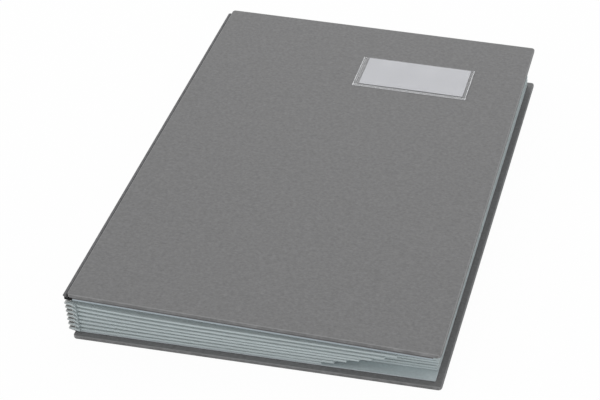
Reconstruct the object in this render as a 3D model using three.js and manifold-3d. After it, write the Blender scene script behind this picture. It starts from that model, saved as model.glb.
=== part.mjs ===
// Signature book: two wrapped board covers joined by a pleated spine that opens like an
// accordion. Each inner fold of the spine carries one stiff divider board, and the seven
// boards are cut back in steps at one corner, so that each can be gripped by itself.
// The front cover carries a clear label pocket with a blank card.
// Millimetres, +Z up. The origin is the middle of the back cover's underside, the spine is
// on -X, and the short edge with the stepped boards is on -Y.

import * as THREE from 'three';
import { mergeVertices } from 'three/addons/utils/BufferGeometryUtils.js';
import Module from 'manifold-3d';

const wasm = await Module();
wasm.setup();

// Covers
const coverWidth = 240;
const coverLength = 350;
const coverThickness = 2.5;
const coverCornerRadius = 2.5;
const coverEdgeRound = 0.5;
const spineOpening = 29.8;
const foreEdgeDrop = 8.7;
const farEndRise = 6;
const frontShiftX = -0.5;
const frontShiftY = 2.3;

// Inner linings glued on the covers
const liningThickness = 0.6;
const liningInset = 4.6;
const liningInsetSpine = 0.6;
const glueGap = 0.3;

// Rolled strip on the front cover's spine edge
const stripWidth = 2.1;
const stripEndGap = 5.5;

// Pleated spine
const dividerCount = 7;
const foldPitch = 3.3;
const foldRadius = 0.45;
const pleatThickness = 0.6;
const pleatReachOut = 3.4;
const pleatReachIn = 3.7;
const pleatInsetNear = 3;
const pleatInsetFar = 3.5;
const arcSteps = 5;

// Divider boards
const boardThickness = 1.5;
const boardInsetNear = 4.6;
const boardInsetFar = 4.6;
const boardInsetFore = 4.6;
const boardDroop = 0.4;
const droopPower = 6;
const boardSteps = 12;
const airUnderBoards = [0.3, 0.35, 0.8, 0.5, 0.35, 1.15, 1.4];
const boardClearance = 0.3;

// Grip steps and viewing holes in the boards
const firstStepFromFore = 28.5;
const stepPitch = 8.05;
const stepDepth = 9;
const stepSlant = 4;
const holeDiameter = 12;
const holeCount = 3;
const holePitch = 90;

// Label pocket on the front cover
const pocketWidth = 85;
const pocketHeight = 38.5;
const pocketFromFore = 38.2;
const pocketFromFar = 42.4;
const filmThickness = 0.3;
const weldWidth = 3.2;
const cardSetBack = 4;
const cardThickness = 0.3;
const filmGap = 0.2;

// What follows from the sizes above
const backTop = coverThickness;
const liningTop = backTop + glueGap + liningThickness;
const frontUnderside = coverThickness + spineOpening;
const foreTilt = Math.asin(foreEdgeDrop / coverWidth);
const lengthTilt = Math.asin(farEndRise / coverLength);
const frontHeightAt = (x) => frontUnderside - (x - frontShiftX) * Math.tan(foreTilt);

// Materials
const paint = (color, roughness) => new THREE.MeshStandardMaterial({ color, roughness, metalness: 0 });
const coverPaper = () => paint(0x7d7d7e, 0.75);
const liningPaper = () => paint(0x879190, 0.85);
const pleatCloth = () => paint(0x8f9493, 0.8);
const boardCard = () => paint(0xa6b1b0, 0.85);

const book = new THREE.Group();
const backSide = new THREE.Group();
const block = new THREE.Group();
const frontSide = new THREE.Group();
book.add(backSide, block, frontSide);

// The three groups measure from the near spine corner of the back cover. The front cover's
// group is turned: it slopes down to the fore-edge and rises a little to the far end.
backSide.position.set(-coverWidth / 2, -coverLength / 2, 0);
block.position.copy(backSide.position);
frontSide.position.copy(backSide.position);
frontSide.position.add(new THREE.Vector3(frontShiftX, frontShiftY, frontUnderside));
frontSide.rotation.set(lengthTilt, foreTilt, 0);

function addMesh(group, name, geometry, material) {
  const mesh = new THREE.Mesh(geometry, material);
  mesh.name = name;
  group.add(mesh);
  return mesh;
}

// A flat rectangle with rounded corners.
function roundedRectangle(x0, y0, x1, y1, radius) {
  const shape = new THREE.Shape();
  shape.moveTo(x0 + radius, y0);
  shape.lineTo(x1 - radius, y0);
  shape.absarc(x1 - radius, y0 + radius, radius, -Math.PI / 2, 0, false);
  shape.lineTo(x1, y1 - radius);
  shape.absarc(x1 - radius, y1 - radius, radius, 0, Math.PI / 2, false);
  shape.lineTo(x0 + radius, y1);
  shape.absarc(x0 + radius, y1 - radius, radius, Math.PI / 2, Math.PI, false);
  shape.lineTo(x0, y0 + radius);
  shape.absarc(x0 + radius, y0 + radius, radius, Math.PI, 1.5 * Math.PI, false);
  return shape;
}

// An outline in X and Z carried along +Y from y0 to y1.
function alongLength(shape, y0, y1, curveSegments) {
  const options = { depth: y1 - y0, bevelEnabled: false, curveSegments };
  return new THREE.ExtrudeGeometry(shape, options).rotateX(Math.PI / 2).translate(0, y1, 0);
}

// Solids are joined and cut on a mesh whose shared vertices are merged.
function toSolid(geometry) {
  const bare = geometry.clone();
  bare.deleteAttribute('normal');
  bare.deleteAttribute('uv');
  const merged = mergeVertices(bare, 1e-4);
  const vertProperties = new Float32Array(merged.attributes.position.array);
  const triVerts = new Uint32Array(merged.index.array);
  return new wasm.Manifold(new wasm.Mesh({ numProp: 3, vertProperties, triVerts }));
}

function toGeometry(solid) {
  const mesh = solid.getMesh();
  const geometry = new THREE.BufferGeometry();
  geometry.setAttribute('position', new THREE.BufferAttribute(new Float32Array(mesh.vertProperties), 3));
  geometry.setIndex(new THREE.BufferAttribute(new Uint32Array(mesh.triVerts), 1));
  geometry.computeVertexNormals();
  return geometry;
}

// Covers: board wrapped in paper, with softly rounded edges and corners.
function coverGeometry() {
  const round = coverEdgeRound;
  const outline = roundedRectangle(round, round, coverWidth - round, coverLength - round, coverCornerRadius - round);
  return new THREE.ExtrudeGeometry(outline, {
    depth: coverThickness - 2 * round,
    bevelThickness: round,
    bevelSize: round,
    bevelSegments: 2,
    curveSegments: 5,
  }).translate(0, 0, round);
}

addMesh(backSide, 'back_cover', coverGeometry(), coverPaper());
addMesh(frontSide, 'front_cover', coverGeometry(), coverPaper());

// Linings: a full sheet glued inside each cover, set back from its edges so that the wrap of the
// cover shows all round as a border.
function liningGeometry() {
  const near = liningInset;
  const far = coverLength - liningInset;
  const outline = roundedRectangle(liningInsetSpine, near, coverWidth - liningInset, far, liningThickness);
  return new THREE.ExtrudeGeometry(outline, { depth: liningThickness, bevelEnabled: false, curveSegments: 2 });
}

addMesh(backSide, 'back_lining', liningGeometry().translate(0, 0, backTop + glueGap), liningPaper());
addMesh(frontSide, 'front_lining', liningGeometry().translate(0, 0, -glueGap - liningThickness), liningPaper());

// Rolled strip: the end of the spine cloth, turned over the front cover's spine edge and half
// round outside.
function stripGeometry() {
  const middle = coverThickness / 2;
  const outline = new THREE.Shape();
  outline.moveTo(-glueGap, 0);
  outline.lineTo(-glueGap, coverThickness);
  outline.absellipse(-glueGap, middle, stripWidth, middle, Math.PI / 2, 1.5 * Math.PI, false, 0);
  return alongLength(outline, 0, coverLength - stripEndGap, 8);
}

addMesh(frontSide, 'front_spine_strip', stripGeometry(), pleatCloth());

// Pleated spine: one ribbon that starts under the front cover's rolled strip and runs down in
// folds. Outer folds lie just past the covers' spine edges, inner folds reach in between them, and
// the ribbon ends flat on the back lining, under the lowest board.
const pleatNear = pleatInsetNear;
const pleatLength = coverLength - pleatInsetNear - pleatInsetFar;
const foldReach = foldRadius + pleatThickness / 2;
const outerCentre = -pleatReachOut + foldReach;
const innerCentre = pleatReachIn - foldReach;
const topFold = frontHeightAt(outerCentre) - boardClearance - foldReach;
const lastInner = liningTop + boardClearance + boardThickness / 2;

const outerHeights = [topFold];
for (let fold = 1; fold <= dividerCount; fold += 1) {
  outerHeights.push(lastInner + (dividerCount + 0.5 - fold) * foldPitch);
}
const innerHeights = [];
for (let fold = 1; fold <= dividerCount; fold += 1) {
  innerHeights.push((outerHeights[fold - 1] + outerHeights[fold]) / 2);
}
innerHeights.push(lastInner);

// The opening grows to the far end as the front cover rises, and all heights above the back
// lining grow with it.
const topRise = pleatLength * Math.tan(lengthTilt);
const growth = topRise / (topFold - liningTop);
const riseAt = (height) => (height - liningTop) * growth;

// Centre line of the ribbon as points with their unit normals: an arc at each fold, and straight
// legs between them that leave the low side of one arc and meet the high side of the next.
function pleatLine() {
  const line = [];
  const put = (x, z, angle, side) => {
    const point = new THREE.Vector2(x + foldRadius * Math.cos(angle), z + foldRadius * Math.sin(angle));
    line.push({ point, normal: new THREE.Vector2(Math.cos(angle), Math.sin(angle)).multiplyScalar(side) });
  };
  const legTilt = (dz) => {
    const dx = innerCentre - outerCentre;
    return Math.atan2(dz, dx) - Math.asin((2 * foldRadius) / Math.hypot(dx, dz));
  };
  const arc = (x, z, from, to, side) => {
    for (let step = 0; step <= arcSteps; step += 1) {
      put(x, z, from + ((to - from) * step) / arcSteps, side);
    }
  };
  const quarter = Math.PI / 2;
  for (let fold = 0; fold <= dividerCount; fold += 1) {
    const above = fold > 0 ? legTilt(innerHeights[fold - 1] - outerHeights[fold]) : 0;
    const below = legTilt(outerHeights[fold] - innerHeights[fold]);
    arc(outerCentre, outerHeights[fold], quarter + above, 3 * quarter - below, 1);
    if (fold < dividerCount) {
      const next = legTilt(innerHeights[fold] - outerHeights[fold + 1]);
      arc(innerCentre, innerHeights[fold], quarter - below, next - quarter, -1);
    } else {
      put(innerCentre, innerHeights[fold] - foldRadius, quarter - below, -1);
    }
  }
  return line;
}

function pleatGeometry() {
  const half = pleatThickness / 2;
  const line = pleatLine();
  const outside = line.map(({ point, normal }) => point.clone().addScaledVector(normal, half));
  const inside = line.map(({ point, normal }) => point.clone().addScaledVector(normal, -half));
  const outline = new THREE.Shape([...outside, ...inside.reverse()]);
  const geometry = alongLength(outline, pleatNear, pleatNear + pleatLength, 1);
  const position = geometry.attributes.position;
  for (let i = 0; i < position.count; i += 1) {
    const share = (position.getY(i) - pleatNear) / pleatLength;
    const height = position.getZ(i);
    position.setZ(i, height + share * Math.max(0, riseAt(height)));
  }
  geometry.computeVertexNormals();
  return geometry;
}

addMesh(block, 'spine_gusset', pleatGeometry(), pleatCloth());

// Divider boards: each is glued to one inner fold, the topmost to the second, and the lowest to
// the ribbon's end. A board droops beside its fold, sinks slowly to the fore-edge, and rises to the
// far end with its fold. Its near fore corner is cut back, each board one step further than the
// board above it.
const boardStart = pleatReachIn + boardClearance;
const boardWidth = coverWidth - boardInsetFore - boardStart;
const boardLength = coverLength - boardInsetNear - boardInsetFar;

function heightShare(share) {
  const rest = 1 - share;
  return (1 - boardDroop) * rest + boardDroop * rest ** droopPower;
}

function boardBlank(drop) {
  const top = [];
  const under = [];
  for (let step = 0; step <= boardSteps; step += 1) {
    const share = (step / boardSteps) ** 1.5;
    const middle = -drop * (1 - heightShare(share));
    top.push(new THREE.Vector2(share * boardWidth, middle + boardThickness / 2));
    under.push(new THREE.Vector2(share * boardWidth, middle - boardThickness / 2));
  }
  return toSolid(alongLength(new THREE.Shape([...under, ...top.reverse()]), 0, boardLength, 1));
}

// Cutters stand upright and pass through the whole board.
function upright(shape, curveSegments) {
  const reach = coverThickness + spineOpening;
  const options = { depth: 2 * reach, bevelEnabled: false, curveSegments };
  return toSolid(new THREE.ExtrudeGeometry(shape, options).translate(0, 0, -reach));
}

function gripCut(row) {
  const past = boardClearance;
  const start = boardWidth - firstStepFromFore + boardInsetFore - row * stepPitch;
  const shape = new THREE.Shape();
  shape.moveTo(start - (stepSlant * past) / stepDepth, -past);
  shape.lineTo(boardWidth + past, -past);
  shape.lineTo(boardWidth + past, stepDepth);
  shape.lineTo(start + stepSlant, stepDepth);
  return upright(shape, 1);
}

function holeCut(index) {
  const shape = new THREE.Shape();
  const along = boardLength / 2 + (index - (holeCount - 1) / 2) * holePitch;
  shape.absarc(coverWidth / 2 - boardStart, along, holeDiameter / 2, 0, 2 * Math.PI, false);
  return upright(shape, 12);
}

const foreHeights = [];
let stackTop = liningTop;
for (let row = dividerCount - 1; row >= 0; row -= 1) {
  const air = airUnderBoards[(dividerCount - 1 - row) % airUnderBoards.length];
  foreHeights[row] = stackTop + air + boardThickness / 2;
  stackTop += air + boardThickness;
}

for (let row = 0; row < dividerCount; row += 1) {
  const foldHeight = innerHeights[row + 1];
  let board = boardBlank(foldHeight - foreHeights[row]).subtract(gripCut(row));
  for (let index = 0; index < holeCount; index += 1) {
    board = board.subtract(holeCut(index));
  }
  const mesh = addMesh(block, `divider_${row + 1}`, toGeometry(board), boardCard());
  const slope = riseAt(foldHeight) / pleatLength;
  mesh.position.set(boardStart, boardInsetNear, foldHeight + slope * (boardInsetNear - pleatNear));
  mesh.rotation.x = Math.atan(slope);
}

// Label pocket: clear film welded to the cover on three sides, with its fore-edge side open for
// the card.
const pocketRight = coverWidth - pocketFromFore;
const pocketTop = coverLength - pocketFromFar;
const pocketLeft = pocketRight - pocketWidth;
const pocketBottom = pocketTop - pocketHeight;
const filmUnder = coverThickness + glueGap;
const cardUnder = filmUnder;
const hollowTop = cardUnder + cardThickness + filmGap;
const cardWidth = pocketWidth - weldWidth - filmGap - cardSetBack;
const cardHeight = pocketHeight - weldWidth - filmThickness - 2 * filmGap;

function pocketGeometry() {
  const outer = roundedRectangle(pocketLeft, pocketBottom, pocketRight, pocketTop, filmThickness);
  const inner = new THREE.Shape();
  inner.moveTo(pocketLeft + weldWidth, pocketBottom + weldWidth);
  inner.lineTo(pocketRight + weldWidth, pocketBottom + weldWidth);
  inner.lineTo(pocketRight + weldWidth, pocketTop - filmThickness);
  inner.lineTo(pocketLeft + weldWidth, pocketTop - filmThickness);
  const height = hollowTop + filmThickness - filmUnder;
  const body = new THREE.ExtrudeGeometry(outer, { depth: height, bevelEnabled: false, curveSegments: 2 });
  const hollow = new THREE.ExtrudeGeometry(inner, { depth: height, bevelEnabled: false });
  hollow.translate(0, 0, -filmThickness);
  return toGeometry(toSolid(body).subtract(toSolid(hollow))).translate(0, 0, filmUnder);
}

function cardGeometry() {
  const left = pocketLeft + weldWidth + filmGap;
  const top = pocketTop - filmThickness - filmGap;
  const outline = roundedRectangle(left, top - cardHeight, left + cardWidth, top, cardThickness);
  return new THREE.ExtrudeGeometry(outline, { depth: cardThickness, bevelEnabled: false, curveSegments: 2 })
    .translate(0, 0, cardUnder);
}

addMesh(frontSide, 'label_pocket', pocketGeometry(), paint(0xb5b7ba, 0.25));
addMesh(frontSide, 'label_card', cardGeometry(), paint(0xcfcfd2, 0.7));

export default book;
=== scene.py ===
import math

import bpy
import numpy as np
from mathutils import Matrix, Vector


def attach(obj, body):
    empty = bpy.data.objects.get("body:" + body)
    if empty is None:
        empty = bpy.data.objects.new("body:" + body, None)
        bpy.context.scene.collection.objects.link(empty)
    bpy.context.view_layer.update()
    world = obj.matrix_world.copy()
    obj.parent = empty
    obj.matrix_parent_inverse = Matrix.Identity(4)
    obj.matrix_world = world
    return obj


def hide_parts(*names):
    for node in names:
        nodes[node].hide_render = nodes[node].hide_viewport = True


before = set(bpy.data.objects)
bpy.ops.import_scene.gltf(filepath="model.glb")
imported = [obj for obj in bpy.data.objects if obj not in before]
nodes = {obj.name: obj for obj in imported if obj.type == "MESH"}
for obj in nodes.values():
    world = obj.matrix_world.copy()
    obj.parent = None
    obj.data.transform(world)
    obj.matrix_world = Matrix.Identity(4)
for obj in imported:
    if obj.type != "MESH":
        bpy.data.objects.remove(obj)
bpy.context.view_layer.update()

# Camera and room: the photo looks down on the book from beyond its stepped short edge, a little
# to the fore-edge side. A pale floor carries a soft shadow and reads as white to the camera.
# The camera's three directions and its place were fitted to the corners of both covers.
camera_place = Vector((0.27638, -0.89952, 0.69285))
camera_right = Vector((0.9695164, 0.2422284, -0.0369239))
camera_up = Vector((-0.1151919, 0.5835869, 0.8038390))
focal_pixels = 1658.0
picture_width = 600.0
sensor_width = 36.0
centre_right_of_frame = 60.0

camera_data = bpy.data.cameras.new("camera")
camera_data.sensor_width = sensor_width
camera_data.lens = focal_pixels / picture_width * sensor_width
camera_data.shift_x = -centre_right_of_frame / picture_width
camera = bpy.data.objects.new("camera", camera_data)
bpy.context.scene.collection.objects.link(camera)
camera_back = camera_right.cross(camera_up)
camera.matrix_world = Matrix.Translation(camera_place) @ Matrix(
    (camera_right, camera_up, camera_back)).transposed().to_4x4()
bpy.context.scene.camera = camera
bpy.context.scene.view_settings.view_transform = "Standard"


class Socket:
    """A shader value. Arithmetic on it adds Math nodes to the same material."""

    def __init__(self, tree, output):
        self.tree = tree
        self.output = output

    def node(self, kind, settings=(), inputs=(), output=0):
        """Adds a node: its settings first, then the values or links of its sockets."""
        made = self.tree.nodes.new(kind)
        for name, value in dict(settings).items():
            setattr(made, name, value)
        for name, value in dict(inputs).items():
            if isinstance(value, Socket):
                self.tree.links.new(value.output, made.inputs[name])
            else:
                made.inputs[name].default_value = value
        return Socket(self.tree, made.outputs[output])

    def math(self, operation, *values):
        """A Math node on the given values, or on this one alone."""
        return self.node("ShaderNodeMath", {"operation": operation}, enumerate(values or (self,)))

    def __add__(self, other):
        return self.math("ADD", self, other)

    def __radd__(self, other):
        return self.math("ADD", other, self)

    def __sub__(self, other):
        return self.math("SUBTRACT", self, other)

    def __rsub__(self, other):
        return self.math("SUBTRACT", other, self)

    def __mul__(self, other):
        return self.math("MULTIPLY", self, other)

    def __rmul__(self, other):
        return self.math("MULTIPLY", other, self)

    def above(self, edge, softness):
        """0 below the edge, 1 past it, with a ramp as wide as softness."""
        inside = self.math("SUBTRACT", self, edge - softness / 2)
        return self.node("ShaderNodeMath", {"operation": "DIVIDE", "use_clamp": True},
                         enumerate((inside, softness)))

    def near(self, value, width):
        """1 within half the width of a value, 0 well outside it."""
        return 1 - (self - value).math("ABSOLUTE").above(width / 2, width / 2)

    def mix(self, low, high):
        """A colour from low to high as this value goes from 0 to 1."""
        low, high = (end if isinstance(end, Socket) else (*end, 1.0) for end in (low, high))
        return self.node("ShaderNodeMix", {"data_type": "RGBA", "clamp_factor": True},
                         {"Factor": self, 6: low, 7: high}, 2)


class Finish:
    """A material with one Principled shader, whose patterns read Object coordinates."""

    def __init__(self, name, roughness, specular):
        self.material = bpy.data.materials.new(name)
        self.material.use_nodes = True
        self.tree = self.material.node_tree
        self.shader = self.tree.nodes["Principled BSDF"]
        self.shader.inputs["Roughness"].default_value = roughness
        self.shader.inputs["Specular IOR Level"].default_value = specular
        place = self.tree.nodes.new("ShaderNodeTexCoord")
        self.place = Socket(self.tree, place.outputs["Object"])
        split = self.place.node("ShaderNodeSeparateXYZ", (), {0: self.place})
        self.x, self.y, self.z = (Socket(self.tree, out) for out in split.output.node.outputs)
        normal = Socket(self.tree, place.outputs["Normal"])
        facing = self.place.node("ShaderNodeSeparateXYZ", (), {0: normal}, "Z")
        self.upright = 1 - facing.math("ABSOLUTE").above(0.6, 0.3)

    def stretched(self, scale):
        """Object coordinates multiplied by one number along each axis."""
        return self.place.node("ShaderNodeVectorMath", {"operation": "MULTIPLY"},
                               {0: self.place, 1: scale})

    def noise(self, scale, detail=2.0, stretch=(1, 1, 1), roughness=0.5):
        """Noise from 0 to 1 with the given number of waves to the metre."""
        return self.place.node("ShaderNodeTexNoise", (), {
            "Vector": self.stretched(stretch), "Scale": scale, "Detail": detail,
            "Roughness": roughness})

    def feed(self, socket, value):
        """Links a value to a socket of the shader."""
        self.tree.links.new(value.output, self.shader.inputs[socket])

    def bump(self, height, depth):
        """Height from 0 to 1 as relief of that depth in metres."""
        made = height.node("ShaderNodeBump", (), {
            "Height": height, "Distance": depth, "Strength": 1.0})
        self.feed("Normal", made)


floor_colour = (0.8, 0.8, 0.8)
floor_size = 12.0
floor_seen_white = 0.97
floor_height = -0.0002
floor_mesh = bpy.data.meshes.new("floor")
half = floor_size / 2
floor_mesh.from_pydata([(-half, -half, 0), (half, -half, 0), (half, half, 0), (-half, half, 0)],
                       [], [(0, 1, 2, 3)])
floor = bpy.data.objects.new("floor", floor_mesh)
floor.location.z = floor_height
bpy.context.scene.collection.objects.link(floor)
floor_finish = Finish("floor_paper", 0.9, 0.0)
floor_finish.shader.inputs["Base Color"].default_value = (*floor_colour, 1.0)
seen = floor_finish.place.node("ShaderNodeLightPath", output="Is Camera Ray")
white = seen.node("ShaderNodeEmission", (), {"Color": (1, 1, 1, 1), "Strength": 1.0})
lit = Socket(floor_finish.tree, floor_finish.shader.outputs[0])
shown = seen.node("ShaderNodeMixShader", (), {0: seen * floor_seen_white, 1: lit, 2: white})
floor_output = floor_finish.tree.nodes["Material Output"]
floor_finish.tree.links.new(shown.output, floor_output.inputs["Surface"])
floor_mesh.materials.append(floor_finish.material)

# World and lamps: an even white room, with one large soft lamp above and beyond the book and a
# weak one in front.
world = bpy.data.worlds.new("studio")
world.use_nodes = True
bpy.context.scene.world = world
world_tree = world.node_tree
background = world_tree.nodes["Background"]
background.inputs["Color"].default_value = (1, 1, 1, 1)
path = world_tree.nodes.new("ShaderNodeLightPath")
seen = Socket(world_tree, path.outputs["Is Camera Ray"])
room_light = 0.76
world_tree.links.new((room_light + seen * (1 - room_light)).output, background.inputs["Strength"])


def soft_lamp(name, place, aim, size, power):
    """A square lamp of that size in metres and power in watts, turned to face a point."""
    data = bpy.data.lights.new(name, "AREA")
    data.shape = "SQUARE"
    data.size = size
    data.energy = power
    lamp = bpy.data.objects.new(name, data)
    lamp.location = place
    lamp.rotation_mode = "QUATERNION"
    lamp.rotation_quaternion = (Vector(aim) - Vector(place)).to_track_quat("-Z", "Y")
    bpy.context.scene.collection.objects.link(lamp)


soft_lamp("top_lamp", (-0.1, 1.0, 1.1), (0, 0.1, 0), 1.0, 6)
soft_lamp("front_lamp", (-0.9, -1.7, 0.7), (0, 0, 0.02), 1.2, 5)

# Covers: 2.5 mm board wrapped in matt mid-grey paper, which is turned in round the edges and
# mitred at the inner corners. The paper has a fine felted speckle. Its edges are paler, partly
# from rubbing and partly a painted highlight: a pale line along the rim and pale patches on the
# edge faces.
cover_dark = (0.118, 0.118, 0.119)
cover_light = (0.238, 0.238, 0.240)
cover_rubbed_highlight = (0.32, 0.32, 0.325)
# Painted shade: the back cover's paper is a darker copy of the front cover's paper.
back_painted_shade = 0.95
cover_size = (0.240, 0.350)
border = 0.0046
back_origin = np.array((-0.120, -0.175, 0.0))
front_origin = np.array((-0.1205, -0.1727, 0.0323))
fore_tilt = math.asin(8.7 / 240)
length_tilt = math.asin(6 / 350)
front_turn = (np.array(Matrix.Rotation(length_tilt, 3, "X"))
              @ np.array(Matrix.Rotation(fore_tilt, 3, "Y")))


def place_on(finish, origin, turn):
    """Position on a cover as two values: turn^T (p - origin), of Object coordinates p."""
    shifted = [value - float(start) for value, start in zip((finish.x, finish.y, finish.z), origin)]
    return [sum(part * float(turn[row, axis]) for row, part in enumerate(shifted)) for axis in (0, 1)]


def dress(names, finish):
    """Gives the CAD nodes their material."""
    for name in names:
        mesh = nodes[name].data
        mesh.materials.clear()
        mesh.materials.append(finish.material)


def cover_paper(name, origin, turn, share):
    """The wrap of the cover that lies at origin and turn, its tints multiplied by share, which
    darkens the back cover's copy as painted shade.
    """
    tints = (cover_dark, cover_light, cover_rubbed_highlight)
    dark, light, pale = (tuple(share * part for part in tint) for tint in tints)
    finish = Finish(name, 0.62, 0.3)
    speckle = finish.noise(430, 3.0, roughness=0.7)
    fibre = finish.noise(1300, 2.0, stretch=(0.35, 1, 1))
    grain = (speckle * 0.6 + fibre * 0.4).above(0.5, 0.6)
    u, v = place_on(finish, origin, turn)
    from_side = cover_size[0] / 2 - (u - cover_size[0] / 2).math("ABSOLUTE")
    from_end = cover_size[1] / 2 - (v - cover_size[1] / 2).math("ABSOLUTE")
    mitre = (from_side - from_end).near(0, 0.0003) * (1 - from_end.above(border, 0.0002))
    from_edge = from_side.math("MINIMUM", from_side, from_end)
    patches = finish.noise(160, 3.0)
    # Rubbing plus painted highlight: pale patches on the edge faces and a pale line along the rim.
    rubbed_and_highlit = (finish.upright * patches.above(0.6, 0.3) * 0.5
              + from_edge.near(0.0004, 0.0005) * (0.35 + patches * 0.5))
    worn_and_highlit = rubbed_and_highlit.mix(grain.mix(dark, light), pale)
    finish.feed("Base Color", (mitre * 0.35).mix(worn_and_highlit, dark))
    finish.feed("Roughness", 0.56 + speckle * 0.14)
    finish.bump(fibre + speckle, 0.00005)
    return finish


dress(("front_cover",), cover_paper("front_cover_paper", front_origin, front_turn, 1.0))
dress(("back_cover",), cover_paper("back_cover_paper", back_origin, np.eye(3), back_painted_shade))

# Rolled strip: the end of the spine cloth, glued over the front cover's spine edge and dyed grey
# like the cover paper, but painted darker than it as shade on its rounded edge. Its threads run
# along the edge.
roll_shaded_dark = (0.085, 0.085, 0.088)
roll_shaded_light = (0.17, 0.17, 0.175)
roll_finish = Finish("strip_cloth", 0.7, 0.3)
roll_threads = roll_finish.noise(1500, 2.0, stretch=(1, 0.12, 1))
roll_finish.feed("Base Color", roll_threads.above(0.5, 0.5).mix(roll_shaded_dark, roll_shaded_light))
roll_finish.bump(roll_threads, 0.00006)
dress(("front_spine_strip",), roll_finish)

# Linings and the last sheet: grey-green paper glued inside each cover, with a soft cloudy tint
# and cut edges that show paler.
lining_dark = (0.44, 0.50, 0.515)
lining_light = (0.58, 0.645, 0.66)
lining_edge = (0.52, 0.57, 0.60)
lining_finish = Finish("lining_paper", 0.8, 0.2)
cloud = lining_finish.noise(60, 4.0, roughness=0.65) * 0.5 + lining_finish.noise(700, 2.0) * 0.5
face = cloud.above(0.5, 0.6).mix(lining_dark, lining_light)
lining_finish.feed("Base Color", lining_finish.upright.mix(face, lining_edge))
lining_finish.bump(lining_finish.noise(1100), 0.00004)
dress(("back_lining",), lining_finish)

# Dividers: light grey-green absorbent board with darker flecks. Their faces are painted lighter and
# their cut edges darker, painted light and shade that evens out the lit edges and the shaded gaps
# between the boards. The cut edges show the layers of the board as fine lines along the cut.
board_face_lit_dark = (0.54, 0.60, 0.605)
board_face_lit_light = (0.65, 0.71, 0.715)
edge_shaded_dark = (0.44, 0.495, 0.505)
edge_shaded_light = (0.54, 0.61, 0.625)
board_finish = Finish("divider_board", 0.85, 0.2)
flecks = board_finish.noise(140, 4.0, roughness=0.7) * 0.5 + board_finish.noise(900, 2.0) * 0.5
layers = board_finish.noise(2600, 1.0, stretch=(0.006, 0.006, 1))
face = flecks.above(0.5, 0.6).mix(board_face_lit_dark, board_face_lit_light)
cut = layers.above(0.5, 0.6).mix(edge_shaded_dark, edge_shaded_light)
# Painted light and shade: faces lighter, cut edges darker, chosen by the facing of the surface.
board_finish.feed("Base Color", board_finish.upright.mix(face, cut))
board_finish.bump(board_finish.noise(1500) + layers * board_finish.upright, 0.00004)
dress([f"divider_{row}" for row in range(1, 8)], board_finish)

# Pleated spine: one ribbon of grey book cloth backed with paper, folded like an accordion. Each
# outer fold wraps the spine edge of one divider, and the ends are glued to the two linings.
# The folds belly a little along the book, and the valleys on the outer side are painted near black
# as shade.
valley_shade_black = (0.006, 0.006, 0.007)
cloth_mid = (0.48, 0.50, 0.495)
cloth_light = (0.70, 0.73, 0.72)
corner_x = -0.120
corner_y = -0.175
ribbon_half = 0.0003
fold_radius = 0.00044
outer_x = corner_x - 0.00264
inner_x = corner_x + 0.0012
outer_folds = 0.001 * np.array([26.6, 23.3, 20.0, 16.6, 13.3, 9.7, 6.0])
fold_droop = 0.00035
first_fold = 0.0296
last_fold = 0.00445
top_of_spine = 0.031327
ribbon_near = corner_y + 0.003
ribbon_length = 0.3435
lining_top = 0.0034
cover_rise = 0.006 / 0.350
belly = 0.00012
valley_start = -0.0004
valley_ramp = 0.0006


def pleat_line(outer, inner, arc_steps):
    """Centre points and unit normals of the ribbon, which starts and ends at an inner fold. An arc
    of fold_radius turns at each fold, and the legs tilt by atan2(dz, dx) - asin(2 r / |d|)."""
    def leg(dz):
        dx = inner_x - outer_x
        return math.atan2(dz, dx) - math.asin(2 * fold_radius / math.hypot(dx, dz))

    turns = []
    quarter = math.pi / 2
    arrival = quarter
    for fold, height in enumerate(outer):
        above = leg(inner[fold] - height)
        below = leg(height - inner[fold + 1])
        turns.append((inner_x, inner[fold], arrival, above - quarter, -1))
        turns.append((outer_x, height, quarter + above, 3 * quarter - below, 1))
        arrival = quarter - below
    turns.append((inner_x, inner[-1] - fold_radius, arrival, arrival, -1))
    points, normals = [], []
    for x, z, start, stop, side in turns:
        angle = np.linspace(start, stop, arc_steps if start != stop else 1)
        unit = np.stack((np.cos(angle), np.sin(angle)), axis=1)
        points.append(np.array((x, z)) + fold_radius * unit)
        normals.append(side * unit)
    return np.concatenate(points), np.concatenate(normals)


def strip_mesh(name, ring):
    """A tube from ring[station, corner, xyz]: quads join each corner to the next one and the next
    station, and quads close both ends across the ring's two sides."""
    stations, corners = ring.shape[:2]
    number = np.arange(stations * corners).reshape(stations, corners)
    onward = np.roll(number, -1, axis=1)
    sides = np.stack((number[:-1], number[1:], onward[1:], onward[:-1]), axis=-1).reshape(-1, 4)
    left = np.arange(corners // 2 - 1)
    right = corners - 1 - left
    cap = np.stack((left, left + 1, right - 1, right), axis=-1)
    faces = np.concatenate((sides, number[0][cap], number[-1][cap][:, ::-1]))
    mesh = bpy.data.meshes.new(name)
    mesh.from_pydata(ring.reshape(-1, 3).tolist(), [], faces.tolist())
    mesh.shade_smooth()
    mesh.set_sharp_from_angle(angle=math.radians(40))
    return mesh


def new_piece(name, mesh, body, finish, replaced=()):
    """Puts a mesh into the scene as a piece of the book."""
    piece = bpy.data.objects.new(name, mesh)
    bpy.context.scene.collection.objects.link(piece)
    mesh.materials.clear()
    mesh.materials.append(finish.material)
    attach(piece, body)
    if replaced:
        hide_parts(*replaced)


def along_spine(profile, along):
    """A ring of the profile at each share of the length. Heights above the lining grow with the
    opening: z' = lining + (z - lining) (1 + share length slope / (top - lining))."""
    lift = 1 + along * ribbon_length * cover_rise / (top_of_spine - lining_top)
    above = profile[:, 1] > lining_top
    height = lining_top + (profile[:, 1] - lining_top) * np.where(above, lift, 1)
    wave = np.sin(along * 31 + profile[:, 1] * 900) + np.sin(along * 13 + profile[:, 1] * 2300)
    outward = np.clip((inner_x - profile[:, 0]) / (inner_x - outer_x), 0, 1)
    return np.stack((profile[:, 0] + belly * (1 + wave / 2) * outward,
                     ribbon_near + along * ribbon_length + 0 * height, height), axis=-1)


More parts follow.
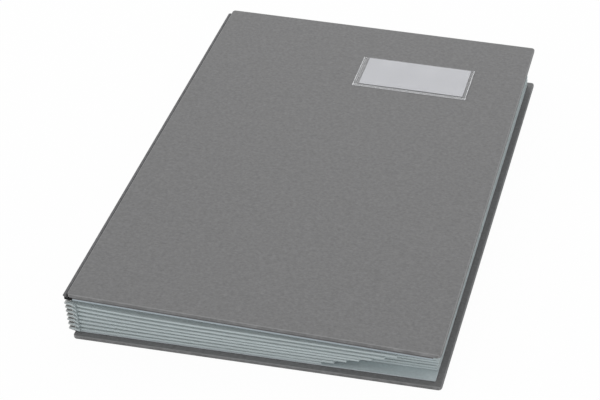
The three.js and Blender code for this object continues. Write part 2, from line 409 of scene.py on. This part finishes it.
inner_folds = np.concatenate(([first_fold], (outer_folds[:-1] + outer_folds[1:]) / 2 - fold_droop,
                              [last_fold]))
points, normals = pleat_line(outer_folds, inner_folds, 9)
skin = np.concatenate((points + ribbon_half * normals, (points - ribbon_half * normals)[::-1]))
along = np.linspace(0, 1, 161)[:, None]
cloth_finish = Finish("spine_cloth", 0.8, 0.2)
warp = cloth_finish.noise(1400, 2.0, stretch=(1, 0.15, 1))
weft = cloth_finish.noise(1400, 2.0, stretch=(0.2, 1, 0.2))
threads = (warp * 0.5 + weft * 0.5).above(0.5, 0.5)
valley_shade = cloth_finish.place.node("ShaderNodeAttribute", {"attribute_name": "valley_shade"}, (), "Fac")
cloth_finish.feed("Base Color", valley_shade.mix(threads.mix(cloth_mid, cloth_light), valley_shade_black))
cloth_finish.bump(threads, 0.00005)
spine_mesh = strip_mesh("pleated_spine", along_spine(skin, along))
# Painted shade: the ribbon's outer side, back from the tips of its outer folds, goes near black.
outside = np.arange(skin.shape[0]) < points.shape[0]
valley_shade_amount = np.clip((skin[:, 0] - outer_x - valley_start) / valley_ramp, 0, 1) * outside
spine_mesh.attributes.new("valley_shade", "FLOAT", "POINT").data.foreach_set(
    "value", np.tile(valley_shade_amount, along.size).astype(np.float32))
new_piece("pleated_spine", spine_mesh, "block", cloth_finish, ("spine_gusset",))

# Spine edges of the dividers: each board thins out and rises a little into its fold, where it is
# glued between the two plies of the cloth.
edge_tip = outer_x + 0.0001
edge_neck = inner_x + 0.0001
board_start = corner_x + 0.00394
board_folds = 0.001 * np.array([24.25, 20.95, 17.65, 14.35, 11.05, 7.75, 4.45])
board_half = np.array([0.00010, 0.00046, 0.00055])
for row, (tip, board) in enumerate(zip(outer_folds, board_folds), start=1):
    middle = np.array([(edge_tip, tip), (edge_neck, tip - fold_droop), (board_start, board)])
    x = np.linspace(edge_tip, board_start, 12)
    z = np.interp(x, middle[:, 0], middle[:, 1])
    half_here = np.interp(x, middle[:, 0], board_half)
    profile = np.concatenate((np.stack((x, z - half_here), axis=1),
                              np.stack((x, z + half_here), axis=1)[::-1]))
    name = f"divider_{row}_spine_edge"
    new_piece(name, strip_mesh(name, along_spine(profile, along)), "block",
              board_finish)

# Front lining: a stiff sheet of grey-green board glued inside the front cover, which reaches nearly
# to its near edge. It is drawn thicker than the plain sheet that it stands for.
lining_left, lining_right = 0.0006, 0.2354
lining_near, lining_far = 0.0015, 0.3454
lining_upper = -0.0003
lining_thick = 0.0015
lining_ripple = 0.00002


def sheet_mesh(name, across, along, surface, thick):
    """A closed sheet on the front cover: a grid over x and y at z = surface(x, y), its copy one
    thickness below, and a rim of quads that joins the two. A point p goes to turn p + origin."""
    columns, rows = across.size, along.size
    x, y = np.meshgrid(across, along)
    upper = surface(x, y)
    points = np.concatenate((np.stack((x, y, upper), axis=-1).reshape(-1, 3),
                             np.stack((x, y, upper - thick), axis=-1).reshape(-1, 3)))
    number = np.arange(columns * rows).reshape(rows, columns)
    face = np.stack((number[:-1, :-1], number[:-1, 1:], number[1:, 1:], number[1:, :-1]), axis=-1)
    face = face.reshape(-1, 4)
    edge = np.concatenate((number[0, :-1], number[:-1, -1], number[-1, :0:-1], number[:0:-1, 0]))
    after = np.roll(edge, -1)
    under = columns * rows
    rim = np.stack((edge + under, after + under, after, edge), axis=-1)
    mesh = bpy.data.meshes.new(name)
    mesh.from_pydata((points @ front_turn.T + front_origin).tolist(), [],
                     np.concatenate((face, face[:, ::-1] + under, rim)).tolist())
    mesh.shade_smooth()
    mesh.set_sharp_from_angle(angle=math.radians(50))
    return mesh


def lining_surface(x, y):
    """Flat but for a ripple of lining_ripple sin(40 x) sin(30 y), kept below lining_upper."""
    return lining_upper - lining_ripple * (1 + np.sin(40 * x) * np.sin(30 * y))


lining_mesh = sheet_mesh("front_lining_board", np.linspace(lining_left, lining_right, 60),
                         np.linspace(lining_near, lining_far, 80), lining_surface, lining_thick)
new_piece("front_lining_board", lining_mesh, "front", lining_finish,
          ("front_lining",))

# Front lining's near edge: the lining paper is lapped round the edge of its board. Its upper half
# lies under the end of the cover's wrap, the lower half shows as a pale line, and by the spine it
# is painted near black, a painted shade from the deep valley of the pleated spine.
lap_left, lap_right = -0.0020, 0.2350
cloth_end = 0.0034
lap_front, lap_back = 0.0006, 0.0026
lap_top, lap_bottom = -0.00034, -0.00262
lining_underside = -0.00184
lap_heel, lap_lip, lap_inside = 0.00140, 0.00142, 0.00144
lap_corner = 0.00025
lap_gap = 0.00004
lap_step, lap_step_end = -0.0010, -0.0012
lap_pale = (0.44, 0.50, 0.54)
lap_shade = (0.36, 0.41, 0.44)
lap_wrap = (0.13, 0.125, 0.128)
lap_wrap_end = -0.0012


def lap_ring(stations):
    """A hook profile at each x: out along the top, down the front face with a half-round corner,
    and back under the lining, then home on its inner side. Points are carried by turn p + origin."""
    turn = np.linspace(0, math.pi / 2, 5)
    r = lap_corner
    upper = np.stack((lap_front + r - r * np.sin(turn), lap_top - r + r * np.cos(turn)), axis=1)
    lower = np.stack((lap_front + r - r * np.cos(turn), lap_bottom + r - r * np.sin(turn)), axis=1)
    outer = np.concatenate(([(lap_heel, lap_top)], upper, lower, [(lap_back, lap_bottom)]))
    rest = lining_underside - lap_gap
    height = np.concatenate((np.linspace(lap_top - 0.0003, lap_step, 5),
                             np.linspace(lap_step_end, rest, 5)))
    inner = np.concatenate(([(lap_lip, lap_top - 0.0002)],
                            np.stack((np.full(height.size, lap_inside), height), axis=1),
                            [(lap_back, rest)]))
    profile = np.concatenate((outer, inner[::-1]))
    x = np.linspace(lap_left, lap_right, stations)[:, None] + 0 * profile[:, 0]
    flat = np.stack((x, profile[:, 0] + 0 * x, profile[:, 1] + 0 * x), axis=-1)
    return flat @ front_turn.T + front_origin


lap_finish = Finish("lining_lap", 0.8, 0.2)
drop = lap_finish.z - float(front_origin[2]) + (lap_finish.x - float(front_origin[0])) * fore_tilt
under_wrap = drop.above(lap_wrap_end, 0.0003)
paper = lap_finish.noise(500, 3.0).mix(lap_shade, lap_pale)
local_x = place_on(lap_finish, front_origin, front_turn)[0]
# Painted shade: by the spine the lap is painted near black.
spine_end_shade = 1 - local_x.above(cloth_end, 0.0003)
lap_finish.feed("Base Color", spine_end_shade.mix(under_wrap.mix(paper, lap_wrap), valley_shade_black))
lap_finish.bump(lap_finish.noise(1100), 0.00003)
new_piece("front_lining_lap", strip_mesh("front_lining_lap", lap_ring(121)[::-1]), "front",
          lap_finish)

# Cloth under the rolled strip: it turns round the front cover's spine edge and a little way in
# under the board, between the cover and the strip.
turn_back = -0.00015
turn_top, turn_under = 0.0024, -0.00017
turn_reach = 0.0005
turn_half = 0.00011
turn_near, turn_far = 0.0001, 0.3447
down = np.stack((np.full(6, turn_back), np.linspace(turn_top, turn_under + turn_half * 2, 6)), axis=1)
inward = np.stack((np.linspace(turn_back + turn_half * 2, turn_reach, 3),
                   np.full(3, turn_under)), axis=1)
centre = np.concatenate((down, inward))
facing = np.concatenate((np.tile((-1.0, 0.0), (6, 1)), np.tile((0.0, -1.0), (3, 1))))
profile = np.concatenate((centre + turn_half * facing, (centre - turn_half * facing)[::-1]))
y = np.linspace(turn_near, turn_far, 90)[:, None]
flat = np.stack((profile[:, 0] + 0 * y, y + 0 * profile[:, 0], profile[:, 1] + 0 * y), axis=-1)
new_piece("front_spine_turn", strip_mesh("front_spine_turn", flat @ front_turn.T + front_origin),
          "front", roll_finish)

# Label card: a blank off-white card, faintly clouded.
# It lies loose in its pocket, and its middle lifts a hair off the cover.
card_white = (0.565, 0.57, 0.595)
card_shade = (0.47, 0.475, 0.50)
card_finish = Finish("label_paper", 0.7, 0.3)
tint = card_finish.noise(45, 3.0) * 0.7 + card_finish.noise(900, 2.0) * 0.3
card_finish.feed("Base Color", tint.above(0.5, 0.6).mix(card_shade, card_white))
card_finish.bump(card_finish.noise(1200), 0.00003)
card_left, card_right = 0.1213, 0.1990
card_bottom, card_top = 0.2723, 0.3070
card_low = 0.00305
card_thick = 0.0003


def card_surface(x, y):
    """Flat, with a lift of sin(pi u) over the middle."""
    u = (x - card_left) / (card_right - card_left)
    return card_low + 0.00005 * np.sin(math.pi * u) + 0 * y


card_mesh = sheet_mesh("label_card_sheet", np.linspace(card_left, card_right, 40),
                       np.linspace(card_bottom, card_top, 20), card_surface, card_thick)
new_piece("label_card_sheet", card_mesh, "front", card_finish, ("label_card",))

# Label pocket: clear film welded to the front cover along three sides, and open to the fore-edge.
# It stands over the card, and the weld is pressed flat with two lines and a row of dots.
# The film's faint white veil is a painted sheen, standing in for its reflection of the room.
film_sheen_white = (0.80, 0.81, 0.83)
film_sheen_alpha = 0.07
weld_alpha = 0.42
film_left, film_right = 0.1168, 0.2018
film_bottom, film_top = 0.2691, 0.3076
film_low = 0.00276
film_high = 0.00334
film_thick = 0.00012
weld = 0.0032
rise_width = 0.0012
lip_width = 0.0004
dot_pitch = 0.0013


def ramp(value, start, width):
    """A smooth step 3 t^2 - 2 t^3 from 0 at start to 1 one width further."""
    share = np.clip((value - start) / width, 0, 1)
    return share * share * (3 - 2 * share)


def film_surface(x, y):
    """Low along the three welds, and high over the card, with a faint sag in the middle."""
    risen = (ramp(x, film_left + weld - rise_width, rise_width)
             * ramp(y, film_bottom + weld - rise_width, rise_width)
             * (1 - ramp(y, film_top - lip_width, lip_width)))
    u = (x - film_left) / (film_right - film_left)
    v = (y - film_bottom) / (film_top - film_bottom)
    sag = 0.06 * np.sin(math.pi * u) * np.sin(math.pi * v)
    return film_low + (film_high - film_low) * risen * (1 - sag)


film_x = np.concatenate((np.linspace(film_left, film_left + weld, 17),
                         np.linspace(film_left + weld, film_right, 60)[1:]))
film_y = np.concatenate((np.linspace(film_bottom, film_bottom + weld, 17),
                         np.linspace(film_bottom + weld, film_top - lip_width, 30)[1:],
                         np.linspace(film_top - lip_width, film_top, 7)[1:]))
film_finish = Finish("pocket_film", 0.12, 0.5)
film_finish.shader.inputs["Base Color"].default_value = (*film_sheen_white, 1.0)
u, v = place_on(film_finish, front_origin, front_turn)
inside_v = v.above(film_bottom + weld, 0.0003)
dots = (v * (2 * math.pi / dot_pitch)).math("SINE").above(0.2, 0.5)
lines = (u.near(film_left + 0.0003, 0.0006) + u.near(film_right - 0.0003, 0.0006)
         + v.near(film_bottom + 0.0003, 0.0006) + v.near(film_top - 0.0002, 0.0005) * 0.5
         + v.near(film_bottom + weld * 0.55, 0.0005)
         + u.near(film_left + weld * 0.5, 0.0006) * dots * inside_v
         + u.near(film_left + weld, 0.0004) * inside_v * 0.4)
# Alpha: the painted sheen veil over the whole film, plus the weld lines.
film_finish.feed("Alpha", film_sheen_alpha + lines * weld_alpha)
film_finish.bump(film_finish.noise(60, 2.0), 0.00008)
film_mesh = sheet_mesh("film_pocket", film_x, film_y, film_surface, film_thick)
new_piece("film_pocket", film_mesh, "front", film_finish, ("label_pocket",))
